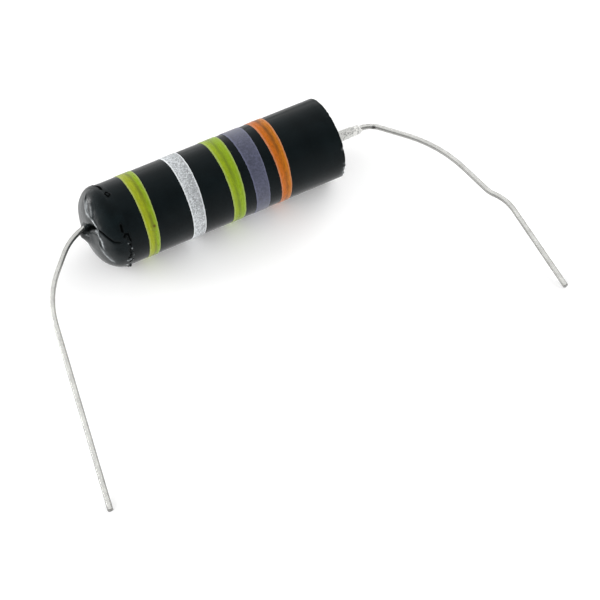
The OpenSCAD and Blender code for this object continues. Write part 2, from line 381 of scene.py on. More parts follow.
def moulded_phenolic(body):
    """Moulded phenolic: a hard satin black that shows faint flow marks and fine pores under its gloss."""
    mat, tree, shader, mm = start_material("moulded_phenolic", {"Roughness": 0.22, "IOR": 1.5})
    clouds = add(tree, "TexNoise", {"Vector": mm, "Scale": 0.45, "Detail": 3, "Roughness": 0.5})
    tone = lay(tree, shade(body.black, 0.8), shade(body.black, 1.25), clouds, 0.3, 0.7)
    # Painted glints where the rim is chipped
    painted_highlight = add(tree, "Attribute", attribute_name="painted_highlight").outputs["Fac"]
    tone = lay(tree, tone, rgba(srgb("#a8abad")), painted_highlight)
    # Pores are about 0.15 mm apart
    pores = add(tree, "TexNoise", {"Vector": mm, "Scale": 6.5, "Detail": 2, "Roughness": 0.55})
    pitted = add(tree, "Bump", {"Strength": 0.35, "Distance": 0.004 * MM, "Height": pores})
    flow = add(tree, "Mapping", {"Vector": mm, "Scale": (0.12, 1, 1)})
    lines = add(tree, "TexNoise", {"Vector": flow, "Scale": 1.6, "Detail": 2})
    satin = add(tree, "MapRange", (lines, 0.3, 0.7, 0.17, 0.26))
    return finish_material(mat, shader, {"Base Color": tone, "Roughness": satin}, lines, 0.5, 0.03, pitted)


def poured_resin(body):
    """Poured epoxy: glossier than the tube, with slow swells, painted shade in its cracks and painted
    highlights on its ridges.
    """
    mat, tree, shader, mm = start_material("poured_resin", {"Roughness": 0.16, "IOR": 1.52})
    clouds = add(tree, "TexNoise", {"Vector": mm, "Scale": 0.9, "Detail": 3})
    tone = lay(tree, shade(body.resin, 0.8), shade(body.resin, 1.3), clouds, 0.3, 0.7)
    # Painted shade: near black, rough and without gloss in the cracks, the crease, the hollow and the pits
    painted_shade = add(tree, "Attribute", attribute_name="painted_shade").outputs["Fac"]
    tone = lay(tree, tone, rgba(srgb("#040505")), painted_shade)
    # Painted highlights: near-white lines along the ridges and glints on the skin's torn edge
    painted_highlight = add(tree, "Attribute", attribute_name="painted_highlight").outputs["Fac"]
    tone = lay(tree, tone, rgba(srgb("#d3d8db")), painted_highlight)
    sockets = {"Base Color": tone, "Roughness": add(tree, "MapRange", (painted_shade, 0, 1, 0.16, 0.9)),
               "Specular IOR Level": add(tree, "MapRange", (painted_shade, 0, 1, 0.5, 0.0))}
    swell = add(tree, "TexNoise", {"Vector": mm, "Scale": 2.2, "Detail": 2, "Roughness": 0.45})
    return finish_material(mat, shader, sockets, swell, 0.5, 0.03)


def pressed_disc(body):
    """Pressed phenolic sheet: satin black with a fine paper weave in its face."""
    mat, tree, shader, mm = start_material("pressed_phenolic_sheet", {"Roughness": 0.4, "IOR": 1.5})
    fibres = add(tree, "Mapping", {"Vector": mm, "Scale": (1, 0.25, 1.6)})
    grain = add(tree, "TexNoise", {"Vector": fibres, "Scale": 3, "Detail": 4})
    tone = lay(tree, shade(body.black, 0.7), shade(body.black, 1.8), grain, 0.35, 0.65)
    satin = add(tree, "MapRange", (grain, 0.3, 0.7, 0.32, 0.5))
    return finish_material(mat, shader, {"Base Color": tone, "Roughness": satin}, grain, 0.4, 0.02)


def gloss_enamel(name, left, right, streak, middle, speck=None):
    """Gloss enamel rolled on by a wheel: its two sides differ a little, with a thin dark streak between."""
    mat, tree, shader, mm = start_material(name, {"Roughness": 0.26, "IOR": 1.5, "Specular IOR Level": 0.5})
    across = add(tree, "Attribute", attribute_name="across").outputs["Fac"]
    tone = lay(tree, rgba(left), rgba(right), across, middle - 0.3, middle + 0.3)
    rolled = add(tree, "Mapping", {"Vector": mm, "Scale": (1.6, 0.35, 0.35)})
    patches = add(tree, "TexNoise", {"Vector": rolled, "Scale": 1.1, "Detail": 4, "Roughness": 0.6})
    wander = add(tree, "MapRange", (patches, 0, 1, middle - 0.18, middle + 0.18))
    offset = add(tree, "Math", (across, wander), operation="SUBTRACT")
    off = add(tree, "Math", (offset,), operation="ABSOLUTE")
    # The streak is about 0.4 mm wide and comes and goes
    within = add(tree, "MapRange", (off, 0.08, 0.42, 1, 0))
    strong = add(tree, "MapRange", (patches, 0.38, 0.6, 0.35, 1.0))
    dark = add(tree, "Math", (within, strong), operation="MULTIPLY")
    tone = lay(tree, tone, rgba(streak), dark)
    lines = add(tree, "TexNoise", {"Vector": rolled, "Scale": 6, "Detail": 2})
    tone = lay(tree, tone, rgba(streak), lines, 0.4, 0.65, 0.45)
    if speck:
        away = add(tree, "VectorMath", (mm, speck), operation="DISTANCE").outputs["Value"]
        tone = lay(tree, tone, rgba(srgb("#54380f")), away, 0.24, 0.08, 0.9)
    # Painted highlight along both edges of the band
    highlight = rgba(0.7 * c + 0.18 for c in left)
    tone = lay_rim_highlight(tree, tone, highlight, across, 0.35, 0.72)
    satin = add(tree, "MapRange", (patches, 0.3, 0.7, 0.22, 0.34))
    return finish_material(mat, shader, {"Base Color": tone, "Roughness": satin}, patches, 0.4, 0.02)


def aluminium_paint(colour):
    """Aluminium paint: metal flakes in clear varnish, so it glitters, with a painted highlight along its
    edges.
    """
    mat, tree, shader, mm = start_material("aluminium_paint", {"Roughness": 0.42, "Metallic": 0.25})
    across = add(tree, "Attribute", attribute_name="across").outputs["Fac"]
    # Real flakes are 0.03 mm; these are 0.12 mm so that they show
    cells = add(tree, "TexVoronoi", {"Vector": mm, "Scale": 8.5}).outputs["Color"]
    flake = add(tree, "SeparateColor", (cells,))
    fine = add(tree, "TexNoise", {"Vector": mm, "Scale": 9, "Detail": 2, "Roughness": 0.6})
    clouds = add(tree, "TexNoise", {"Vector": mm, "Scale": 1.4, "Detail": 3})
    tone = lay(tree, shade(colour, 1.08), shade(colour, 0.86), across, -0.3, 0.3)
    tone = lay(tree, tone, shade(colour, 0.38), flake, 0.55, 0.8, 0.75)
    tone = lay(tree, tone, shade(colour, 0.55), fine, 0.52, 0.42, 0.4)
    tone = lay(tree, tone, rgba(srgb("#edf1f3")), flake, 0.24, 0.12, 0.6)
    tone = lay(tree, tone, shade(colour, 0.75), clouds, 0.3, 0.7, 0.12)
    # Painted highlight along both edges of the band
    tone = lay_rim_highlight(tree, tone, rgba(srgb("#ecf0f2")), across, 0.85, 0.8)
    satin = add(tree, "MapRange", (flake, 0, 1, 0.34, 0.5))
    return finish_material(mat, shader, {"Base Color": tone, "Roughness": satin}, flake, 0.5, 0.008)


def flat_enamel(colour):
    """Flat enamel: a chalky film whose pigment grains leave a dusty speckle and a pale sheen at a glance."""
    mat, tree, shader, mm = start_material("flat_enamel", {
        "Roughness": 0.42, "IOR": 1.5, "Sheen Weight": 0.18, "Sheen Roughness": 0.6})
    across = add(tree, "Attribute", attribute_name="across").outputs["Fac"]
    # Real pigment is far finer; these grains are 0.2 mm so that they show
    grains = add(tree, "TexNoise", {"Vector": mm, "Scale": 4.5, "Detail": 3, "Roughness": 0.75})
    clouds = add(tree, "TexNoise", {"Vector": mm, "Scale": 0.8, "Detail": 3})
    tone = lay(tree, shade(colour, 0.6), shade(colour, 1.45), grains, 0.38, 0.62)
    tone = lay(tree, tone, shade(colour, 0.75), clouds, 0.35, 0.7, 0.4)
    # Painted highlight along both edges of the band
    tone = lay_rim_highlight(tree, tone, shade(colour, 2.1), across, 0.5, 0.8)
    satin = add(tree, "MapRange", (grains, 0.3, 0.7, 0.36, 0.5))
    return finish_material(mat, shader, {"Base Color": tone, "Roughness": satin}, grains, 0.5, 0.01)


def tinned_copper(colour):
    """Tinned copper wire: dipped tin gone satin grey in air, with dull patches, dents and a painted shadow
    just past the solder.
    """
    mat, tree, shader, mm = start_material("tinned_copper", {"Roughness": 0.2, "Metallic": 0.85})
    patches = add(tree, "TexNoise", {"Vector": mm, "Scale": 0.7, "Detail": 4, "Roughness": 0.6})
    tone = lay(tree, rgba(colour), shade(colour, 0.8), patches, 0.35, 0.7)
    # A painted shadow just past the eyelet's solder
    shadow_distance = add(tree, "VectorMath", (mm, SOLDER_SHADOW_SPOT), operation="DISTANCE").outputs["Value"]
    tone = lay(tree, tone, rgba(srgb("#3b3a36")), shadow_distance, 0.34, 0.12, 0.75)
    # It has kept its shine where it leaves the resin
    root = add(tree, "VectorMath", (mm, WIRE_ROOT), operation="DISTANCE").outputs["Value"]
    satin = add(tree, "MapRange", (patches, 0.35, 0.7, 0.16, 0.22))
    shine = add(tree, "MapRange", (root, 4, 10, 0.6, 1.0))
    sockets = {"Base Color": tone, "Metallic": add(tree, "MapRange", (root, 4, 10, 0.95, 0.82)),
               "Roughness": add(tree, "Math", (satin, shine), operation="MULTIPLY")}
    # Dents are about 0.5 mm apart
    dents = add(tree, "TexNoise", {"Vector": mm, "Scale": 2.2, "Detail": 2})
    return finish_material(mat, shader, sockets, dents, 0.25, 0.01)


def soldered_tin(name, colour):
    """Dipped solder on brass: pale and lumpy, with a frosty skin where it cooled slowly."""
    mat, tree, shader, mm = start_material(name, {"Roughness": 0.5, "Metallic": 0.15})
    # Frost patches are about 0.2 mm across
    frost = add(tree, "TexNoise", {"Vector": mm, "Scale": 5.5, "Detail": 3, "Roughness": 0.7})
    tone = lay(tree, rgba(colour), shade(colour, 0.42), frost, 0.51, 0.6)
    dull = add(tree, "MapRange", (frost, 0.35, 0.7, 0.4, 0.6))
    return finish_material(mat, shader, {"Base Color": tone, "Roughness": dull}, frost, 0.6, 0.03)


def waxed_card():
    """Waxed card: buff pulp board, darkened by the wax it has soaked up."""
    mat, tree, shader, mm = start_material("waxed_card", {"Roughness": 0.6})
    pulp = add(tree, "TexNoise", {"Vector": mm, "Scale": 3, "Detail": 5, "Roughness": 0.7})
    tone = lay(tree, rgba(srgb("#8a7148")), rgba(srgb("#b39a6b")), pulp, 0.35, 0.65)
    return finish_material(mat, shader, {"Base Color": tone}, pulp, 0.5, 0.03)


def kraft_paper():
    """Kraft paper: brown, with long fibres that run round the winding."""
    mat, tree, shader, mm = start_material("kraft_paper", {"Roughness": 0.55})
    wound = add(tree, "Mapping", {"Vector": mm, "Scale": (3, 0.5, 0.5)})
    fibres = add(tree, "TexNoise", {"Vector": wound, "Scale": 2, "Detail": 5})
    tone = lay(tree, rgba(srgb("#7d5f38")), rgba(srgb("#a98a58")), fibres, 0.35, 0.65)
    return finish_material(mat, shader, {"Base Color": tone}, fibres, 0.4, 0.02)


def foil_winding():
    """Foil and oiled tissue wound together: thin bright rings of foil edge between amber paper."""
    mat, tree, shader, mm = start_material("foil_winding", {"Roughness": 0.35, "Metallic": 0.7})
    flat = add(tree, "Mapping", {"Vector": mm, "Scale": (0, 1, 1)})
    rings = add(tree, "TexWave", {"Vector": flat, "Scale": 1.2, "Distortion": 0.4},
                wave_type="RINGS", rings_direction="SPHERICAL").outputs["Fac"]
    tone = lay(tree, rgba(srgb("#a89060")), rgba(srgb("#d5d3cd")), rings)
    return finish_material(mat, shader, {"Base Color": tone}, rings, 0.4, 0.03)


# ---------------------------------------------------------------- tube

# Chips in the rim of the flat end: angle round the body, width in degrees, depth
RIM_CHIPS = (
    (4, 1.6, 0.06), (-5, 2.2, 0.14), (-14, 2.6, 0.18), (-24, 2.0, 0.1), (27, 1.5, 0.05), (151, 2, 0.1),
    (-110, 3, 0.09),
)


class CAPACITOR_OT_case(bpy.types.Operator):
    """Builds the black tube, with a lipped and slightly chipped rim at its flat end"""

    bl_idname = "capacitor.build_case"
    bl_label = "Build Tube"

    def execute(self, context):
        body = context.scene.capacitor_body
        r = body.radius / MM
        wave = body.waviness / MM
        rim = FLAT_X - RIM_LEN
        profile = [(x, r) for x in spread(TUBE_X, rim - 0.05, 0.4)]
        profile += [(FLAT_X + x, radius) for x, radius in (
            (-0.28, r - 0.025), (-0.2, r - 0.01), (-0.12, r + 0.015), (-0.05, r + 0.005), (-0.015, r - 0.03),
            (0, r - 0.08), (0, SEAT_R + 0.05), (-0.06, SEAT_R), (-DISC_T, SEAT_R), (-DISC_T, BORE_R))]
        profile += [(x, BORE_R) for x in spread(FLAT_X - DISC_T - 1, TUBE_X + 1, 3.0)] + [(TUBE_X, BORE_R)]
        bm = spun(profile, 256, closed=True)
        painted_highlight = bm.verts.layers.float.new("painted_highlight")
        for v in bm.verts:
            if math.hypot(v.co.y, v.co.z) < r - 0.3:
                continue
            n = outward(v.co)
            x = v.co.x
            swell = wobble(x * 0.16, n.y * 1.3, n.z * 1.3) * wave * 1.6
            if x > rim:
                a = around(v.co)
                broken = sum(deep * bell(a - at, wide) for at, wide, deep in RIM_CHIPS)
                chip = broken + max(0.0, wobble(a * 0.16, 3.1, 0) - 0.18) * 0.28
                on_rim = smoothstep(rim, rim + 0.1, x) * smoothstep(FLAT_X, FLAT_X - 0.12, x)
                # The chips in the rim get a painted glint
                v[painted_highlight] = min(0.8, 5 * broken) * on_rim
                swell -= chip * smoothstep(rim, FLAT_X - 0.02, x)
                v.co.x += wobble(a * 0.07, 9.0, x) * 0.05 * smoothstep(rim, FLAT_X, x) - chip * 0.5
            v.co += n * swell
        make_piece(bm, "case", moulded_phenolic(body), "black_case", "case_tube")
        return {"FINISHED"}


# ---------------------------------------------------------------- dome

# Edge of the resin's thin skin on the tube: angle round the body, station
SKIN_EDGE = (
    (-180, -12.45), (-150, -12.2), (-120, -12.4), (-90, -12.15), (-60, -12.35), (-42, -12.3), (-36, -11.98),
    (-30, -12.1), (-22, -12.3), (-12, -12.12), (-6, -12.32), (2, -12.08), (8, -12.3), (13, -12.02),
    (20, -11.84), (24, -12.02), (28, -12.5), (32, -12.0), (35, -12.4), (40, -12.52), (48, -12.42),
    (56, -12.2), (66, -12.05), (76, -11.95), (84, -12.08), (88, -12.28), (92, -11.93), (96, -12.05),
    (99, -12.2), (103, -12.38), (110, -12.42), (118, -12.4), (127, -12.6), (140, -12.55), (160, -12.4),
    (180, -12.45),
)

# Ridges that the resin set in, the crease and the hollow beside the wire
RIDGE = Seam(
    (-13.75, 2.75, 3.9), (-14.3, 2.0, 3.85), (-14.62, 1.3, 3.6), (-14.85, 0.5, 3.35), (-14.82, -0.5, 3.35),
    (-14.76, -1.3, 3.2), (-14.72, -2.02, 2.83), (-14.78, -2.43, 2.23), (-14.69, -3.03, 1.62),
    (-14.68, -3.28, 0.86), (-14.6, -3.45, 0.3),
)
RIDGE_BACK = Seam((-14.19, 0.81, 4.33), (-14.46, 0.03, 4.06), (-14.65, -0.5, 3.7), (-14.76, -0.9, 3.38))
RIDGE_FRONT = Seam(
    (-14.9, -2.5, 1.5), (-14.92, -2.73, 0.87), (-14.74, -3.25, 0.06), (-14.4, -3.72, -0.71),
    (-13.9, -4.0, -1.4),
)
CREASE = Seam(
    (-14.72, -2.02, 2.83), (-14.42, -2.8, 2.76), (-13.99, -3.67, 2.37), (-13.71, -4.08, 2.1),
    (-13.33, -4.34, 2.07), (-12.58, -4.6, 2.04),
)
CREASE_HEIGHT = [(point.x, point.z) for point in CREASE.points]
CAVITY = Seam(
    (-15.33, -0.25, 1.3), (-15.2, -0.55, 1.7), (-15.06, -1.0, 2.1), (-14.98, -1.4, 2.35),
    (-14.92, -1.8, 2.5),
)

# Cracks and tears in the skin, where shade is painted dark: line, width, how far they fade at their ends
BLOT = Seam((-12.42, -3.35, 3.76), (-12.48, -3.75, 3.4), (-12.5, -4.08, 2.97))
UPPER_CRACK = Seam((-12.68, 3.4, 3.8), (-12.64, 3.06, 4.08), (-12.4, 2.29, 4.5), (-12.41, 1.36, 4.86))
FLAKE = Seam(
    (-12.4, 0.5, 5.03), (-12.16, 0.8, 4.99), (-11.91, 0.2, 5.05), (-12.25, -0.07, 5.05), (-12.4, 0.5, 5.03),
)
SQUIGGLE = Seam(
    (-12.58, -4.39, 2.47), (-12.3, -4.2, 2.8), (-11.96, -4.27, 2.7), (-11.95, -4.5, 2.2),
    (-11.8, -4.67, 1.79),
)
SKIN_CRACKS = ((BLOT, 0.16, 0.1), (UPPER_CRACK, 0.17, 0.05), (FLAKE, 0.09, 0), (SQUIGGLE, 0.12, 0.05))

# Painted highlights along the resin's crests: line, share, width, how far it fades at its ends
UPPER_CREST = Seam(
    (-14.3, 2.0, 3.85), (-14.51, 1.34, 3.81), (-14.72, 0.81, 3.59), (-14.9, 0.39, 3.25),
    (-14.86, -0.3, 3.3), (-14.79, -0.85, 3.34),
)
BACK_CREST = Seam((-14.19, 0.81, 4.33), (-14.46, 0.03, 4.06), (-14.65, -0.4, 3.75), (-14.77, -0.8, 3.4))
MIDDLE_CREST = Seam(
    (-14.8, -0.55, 3.45), (-14.81, -0.86, 3.3), (-14.76, -1.3, 3.2), (-14.72, -1.8, 2.95),
    (-14.74, -2.15, 2.65), (-14.78, -2.43, 2.23), (-14.75, -2.7, 2.0),
)
LOWER_CREST = Seam(
    (-14.78, -2.43, 2.23), (-14.72, -2.8, 1.9), (-14.69, -3.03, 1.62), (-14.68, -3.28, 0.86),
    (-14.62, -3.4, 0.5),
)
FRONT_CREST = Seam(
    (-14.92, -2.73, 0.87), (-14.74, -3.25, 0.06), (-14.4, -3.72, -0.71), (-14.1, -3.95, -1.1),
    (-13.7, -4.15, -1.6),
)
LIP_CREST = Seam((-15.05, -1.35, 2.05), (-14.97, -1.75, 2.15), (-14.86, -2.1, 2.2))
COLLAR_GLEAM = Seam((-15.55, -0.42, 0.72), (-15.42, -0.65, 0.78), (-15.33, -0.82, 0.7))
PAINTED_HIGHLIGHTS = (
    (UPPER_CREST, 0.4, 0.24, 0.3), (UPPER_CREST, 0.25, 0.08, 0.4), (BACK_CREST, 0.22, 0.16, 0.35),
    (MIDDLE_CREST, 0.75, 0.1, 0.25), (LOWER_CREST, 0.7, 0.09, 0.3), (LOWER_CREST, 0.2, 0.2, 0.3),
    (FRONT_CREST, 0.45, 0.15, 0.3), (FRONT_CREST, 0.2, 0.3, 0.3), (LIP_CREST, 0.6, 0.08, 0.3),
    (COLLAR_GLEAM, 0.32, 0.07, 0.2),
)

# Crumbs of resin: place, size, height. Painted glints on the torn edge: place, size, share. Pits with painted
# shade: place, size
CRUMBS = (
    ((-12.0, -4.5, 2.2), 0.16, 0.126), ((-12.35, -4.42, 2.42), 0.13, 0.112),
    ((-12.09, -5.04, 0.23), 0.17, 0.14), ((-12.25, -4.98, -0.7), 0.22, 0.168),
    ((-12.15, -4.9, -1.1), 0.12, 0.14), ((-11.95, 0.25, 5.05), 0.14, 0.084),
    ((-12.1, -4.2, -2.75), 0.2, 0.224), ((-12.2, -3.9, -3.15), 0.16, 0.168),
)
PAINTED_GLINTS = (
    ((-12.25, -4.76, 1.7), 0.07, 0.35), ((-11.92, -4.98, 0.85), 0.08, 0.5),
    ((-11.75, -4.99, -0.3), 0.09, 0.65), ((-12.29, -5.0, -0.68), 0.1, 0.95),
    ((-12.54, -4.94, -0.97), 0.1, 0.95), ((-12.57, -4.58, -2.05), 0.1, 0.9),
    ((-12.3, -4.75, -1.75), 0.08, 0.9), ((-11.85, -4.9, -1.3), 0.07, 0.7),
)
PITS = (
    ((-12.05, -4.83, 1.48), 0.13), ((-12.05, -4.99, 0.77), 0.13), ((-11.84, -4.99, 0.29), 0.091),
    ((-12.14, -5.05, -0.01), 0.169), ((-12.41, -5.03, -0.4), 0.104), ((-12.42, -4.98, -0.81), 0.117),
    ((-12.03, -4.93, -1.09), 0.208), ((-12.27, -4.85, -1.39), 0.13),
)


def dome_profile(r):
    """The dome from its tip out over the tube's end, and back in along the plug, as (x, radius)."""
    nub_x = TUBE_X - NUB_LEN
    profile = [(nub_x - 0.04, 0.0), (nub_x - 0.03, 0.2), (nub_x, 0.36)]
    profile += [(nub_x + 0.8 * t, 0.36 + 0.99 * t) for t in (0.2, 0.4, 0.6, 0.8)]
    profile += [(TUBE_X - SHOULDER_LEN * math.sin(a), r - SHOULDER_IN * (1 - math.cos(a)))
                for a in map(math.radians, spread(90, 0, 0.9))]
    profile += [(x, r) for x in spread(TUBE_X + 0.05, SKIN_END_X, 0.05)]
    inner, plug_r = r - 0.16, BORE_R - 0.02
    profile += [(SKIN_END_X, inner), (TUBE_X, inner), (TUBE_X, plug_r), (PLUG_X, plug_r), (PLUG_X, 0.0)]
    return profile


def dome_relief(p, tip, ring, front):
    """How far the dome's face lifts at a point, and how much painted shade it gets in the crease and the
    hollow.
    """
    # Slow swells, as the resin set unevenly
    lift = noise.noise(p * 0.55 + Vector((4, 1, 7))) * 0.05 * smoothstep(0, 0.3, tip)
    lift += noise.noise(p * 1.7) * 0.012 * smoothstep(0, 0.2, tip)
    lift += 0.11 * RIDGE.weight(p, 0.15)
    lift += 0.05 * RIDGE_BACK.weight(p, 0.2) + 0.08 * RIDGE_FRONT.weight(p, 0.14)
    painted_shade = 0.0
    if CREASE.near(p, 1.2):
        d, s = CREASE.measure(p)
        fade = smoothstep(0, 0.1, s) * smoothstep(0, 0.25, 1 - s)
        # The resin bulges under the crease
        if p.z < table(CREASE_HEIGHT, p.x):
            lift += 0.09 * bell(d, 0.55) * fade * smoothstep(0, 0.08, d)
        lift -= 0.08 * bell(d, 0.08) * fade
        # Painted shade along the crease
        painted_shade = 0.95 * bell(d, 0.09) * fade
    hollow = CAVITY.weight(p, 0.36, 0)
    lift -= 0.5 * hollow
    # Painted shade in the hollow beside the wire
    painted_shade = max(painted_shade, min(1.0, 1.7 * hollow * hollow))
    # The front of the nub runs smoothly into the dome
    lift += 0.17 * bell(ring - 1.3, 0.5) * smoothstep(0.0, 0.8, front)
    return lift, painted_shade


def painted_highlight_share(p):
    """How strong the painted highlight on the resin's crests is at a point."""
    grain = 0.75 + 0.5 * noise.noise(p * 3.1 + Vector((0, 5, 2)))
    palest = max(share * crest.weight(p, width, taper) for crest, share, width, taper in PAINTED_HIGHLIGHTS)
    return min(1.0, grain * palest)


def skin_relief(p, x):
    """How far the resin's skin lifts on the tube at a point, how much painted shade its cracks get and how
    strong its painted glints are.
    """
    a = around(p)
    edge = table(SKIN_EDGE, a) + wobble(a * 0.35, 5, 0) * 0.07
    # The skin feathers out along the top and ends in a torn lip elsewhere
    feathered = smoothstep(44, 52, a) * (1 - smoothstep(97, 104, a))
    torn = 1 - feathered
    over = smoothstep(edge - 0.03 - 0.5 * feathered, edge + 0.05 + 0.3 * feathered, x)
    lift = 0.02 * torn * bell(x - edge + 0.06, 0.07) * (0.5 + 0.5 * wobble(a * 0.12, 2, 0)) - 0.04 * over
    lift -= 0.06 * BLOT.weight(p, 0.14, 0.1) + 0.04 * SQUIGGLE.weight(p, 0.08, 0.05)
    # Painted shade in the gap under the torn lip and along the cracks
    under = torn * bell(x - edge - 0.02, 0.08) * (0.6 + 0.4 * smoothstep(-0.2, 0.2, wobble(a * 0.2, 8, 0)))
    deepest = max(seam.weight(p, width, taper) for seam, width, taper in SKIN_CRACKS)
    painted_shade = max(under, min(1.0, 1.5 * deepest))
    for spot, size, tall in CRUMBS:
        d = (p - Vector(spot)).length
        if d < 3 * size:
            lift += (tall + 0.06 * over) * bell(d, size)
    # Pits get painted shade and sink a little
    for spot, size in PITS:
        pit = bell((p - Vector(spot)).length, size)
        painted_shade = max(painted_shade, min(1.0, 1.9 * pit))
        lift -= 0.06 * pit
    # Painted glints on the torn edge, broken up by noise
    broken = min(1.0, max(0.0, 0.8 + 1.6 * noise.noise(p * 6.5)))
    painted_glint = broken * max(highlight * bell((p - Vector(spot)).length, size) for spot, size, highlight in PAINTED_GLINTS)
    return lift, painted_shade, painted_glint


class CAPACITOR_OT_dome(bpy.types.Operator):
    """Builds the poured resin dome: its leaning nub, ridges, crease, hollow and ragged skin"""

    bl_idname = "capacitor.build_dome"
    bl_label = "Build Dome"

    def execute(self, context):
        body = context.scene.capacitor_body
        r = body.radius / MM + SKIN_T
        bm = spun(dome_profile(r), 400)
        bmesh.ops.recalc_face_normals(bm, faces=bm.faces)
        bm.normal_update()
        shade_layer = bm.verts.layers.float.new("painted_shade")
        highlight_layer = bm.verts.layers.float.new("painted_highlight")
        for v in bm.verts:
            x, y, z = v.co
            ring = math.hypot(y, z)
            if x > SKIN_END_X + 0.05 or (ring < r - 0.1 and x > TUBE_X - 0.02):
                continue
            tip = min(1.0, max(0.0, (TUBE_X - x) / NUB_LEN))
            p = v.co + LEAN * tip ** 0.54
            lift, painted_shade = dome_relief(p, tip, ring, -y / max(ring, 0.1))
            # Painted highlight along the crests
            painted_highlight = painted_highlight_share(p)
            if x > TUBE_X - 0.4:
                skin_lift, skin_shade, painted_glint = skin_relief(p, x)
                lift += skin_lift
                painted_shade = max(painted_shade, skin_shade)
                painted_highlight = max(painted_highlight, painted_glint)
            p += v.normal * lift
            if x > TUBE_X - 0.03:
                # Its skin stays on top of the tube, and sinks into it where it ends
                out = math.hypot(p.y, p.z)
                kept = (max(out, r - 0.03) - 0.05 * smoothstep(SKIN_END_X - 0.5, SKIN_END_X, x)) / out
                p = Vector((p.x, p.y * kept, p.z * kept))
            v.co = p
            v[shade_layer] = painted_shade
            v[highlight_layer] = painted_highlight
        make_piece(bm, "resin_dome", poured_resin(body), "black_resin", "dome_seal")
        return {"FINISHED"}


# ---------------------------------------------------------------- bands

def band_finishes(paint):
    """The paint of each band, by its frame node."""
    yellow, orange = tuple(paint.yellow), tuple(paint.orange)
    greener = tinted(yellow, 0.76, 0.98, 1)
    olive = tinted(yellow, 0.5, 0.5, 1.3)
    return {
        "band_outer_yellow": gloss_enamel("yellow_gloss_enamel", yellow, greener, olive, 0.12, SPECK),
        "band_inner_yellow": gloss_enamel("yellow_gloss_enamel_inner", tinted(yellow, 0.86, 1, 1), greener,
                                          tinted(olive, 0.95, 1.15, 1), -0.1),
        "band_silver": aluminium_paint(tuple(paint.silver)),
        "band_violet": flat_enamel(tuple(paint.violet)),
        "band_orange": gloss_enamel("orange_gloss_enamel", orange, tinted(orange, 1, 1.25, 1),
                                    tinted(orange, 0.36, 0.48, 1), 0.1),
    }


def band_edge(a, half, lean, ragged, seed, row):
    """How far an edge lies from the band's middle at an angle round the body."""
    wavy = wobble(a * 0.045, seed, row) * 0.035 + wobble(a * 0.3, seed, row + 2) * ragged
    return half + lean * math.cos(math.radians(a + BAND_ROLL)) + wavy


class CAPACITOR_OT_bands(bpy.types.Operator):
    """Builds the five painted bands, with leaning, slightly wavy edges"""

    bl_idname = "capacitor.build_bands"
    bl_label = "Build Bands"

    def execute(self, context):
        paint = context.scene.capacitor_paint
        r = context.scene.capacitor_body.radius / MM
        t = paint.thickness / MM
        finishes = band_finishes(paint)
        # The film's section, in half widths across: it thins out at both edges
        thin = [(1.0, -0.03), (1.0, 0.3 * t), (0.985, 0.75 * t), (0.94, t)]
        section = [(-u, h) for u, h in thin] + [(u, t) for u in spread(-0.85, 0.85, 0.17)] + thin[::-1]
        for i, (name, node, slot, centre, width, lean_left, lean_right) in enumerate(BANDS):
            ragged = 0.05 if slot == "violet_paint" else 0.02
            seed = i * 7.3
            bm = spun([(u, r + h) for u, h in section], 360, closed=True)
            across = bm.verts.layers.float.new("across")
            for v in bm.verts:
                u = v.co.x
                v[across] = u
                a = around(v.co)
                left = band_edge(a, -width / 2, lean_left, ragged, seed, 0)
                right = band_edge(a, width / 2, lean_right, ragged, seed, 5)
                v.co.x = centre + left + (right - left) * (u + 1) / 2
                if math.hypot(v.co.y, v.co.z) > r:
                    v.co += outward(v.co) * wobble(v.co.x * 0.9, a * 0.03, i * 3.0) * 0.008
            make_piece(bm, name, finishes[node], slot, node)
        return {"FINISHED"}


# ---------------------------------------------------------------- wires and eyelet

def droop(bends, off, up):
    """Tilt of a wire's plane that sets the lower edge of its tip on the floor."""
    at, heading = 0, 0.0
    for length, turn, radius in bends:
        arc = math.radians(abs(turn))
        step = complex(length + radius * math.sin(arc), math.copysign(radius * (1 - math.cos(arc)), turn))
        at += step * cmath.rect(1, heading)
        heading += math.radians(turn)
    reach, rise = at.imag + off, up - WIRE_R
    return math.asin(FLOOR_R / math.hypot(reach, rise)) + math.atan(rise / reach)


def into_eyelet_plane():
    """Local X runs out of the eyelet from its tip; local Y points to the front."""
    turn = math.pi + droop(EYELET_BENDS, EYELET_OFF, 0)
    return Matrix.Rotation(turn, 4, "X") @ Matrix.Translation((EYELET_TIP_X, EYELET_OFF, 0))


def into_dome_plane():
    """Local X runs out of the dome; local Y points to the front."""
    tilt = Matrix.Rotation(droop(DOME_BENDS, -DOME_WIRE_OFF, DOME_WIRE_UP), 4, "X")
    root = Matrix.Translation((DOME_WIRE_X, DOME_WIRE_OFF, DOME_WIRE_UP))
    return tilt @ root @ Matrix.Rotation(math.pi, 4, "Z")


class CAPACITOR_OT_disc(bpy.types.Operator):
    """Builds the end disc, pressed into the flat end, with a shallow dish round the eyelet"""

    bl_idname = "capacitor.build_disc"
    bl_label = "Build End Disc"

    def execute(self, context):
        eyelet = into_eyelet_plane().translation
        # Rings: depth behind the flat end, radius, share of the way from the axis to the eyelet
        rings = [(DISC_T, 4.45, 0.0), (0.12, 4.45, 0.0), (0.03, 4.41, 0.0), (0.01, 4.3, 0.0)]
        rings += [(0.01 + 0.07 * t, 4.3 + (0.95 - 4.3) * t, t) for t in (0.2, 0.4, 0.6, 0.8, 0.9, 1.0)]
        rings += [(0.02, 0.78, 1.0), (0.06, 0.7, 1.0), (DISC_T, 0.7, 1.0)]
        bm = bmesh.new()
        loops = [ring_of_edges(bm, FLAT_X - depth, radius, 128, (eyelet.y * share, eyelet.z * share))
                 for depth, radius, share in rings]
        for a, b in zip(loops, loops[1:] + loops[:1]):
            bmesh.ops.bridge_loops(bm, edges=list(a | b))
        material = pressed_disc(context.scene.capacitor_body)
        make_piece(bm, "end_disc_face", material, "black_disc", "end_disc")
        return {"FINISHED"}


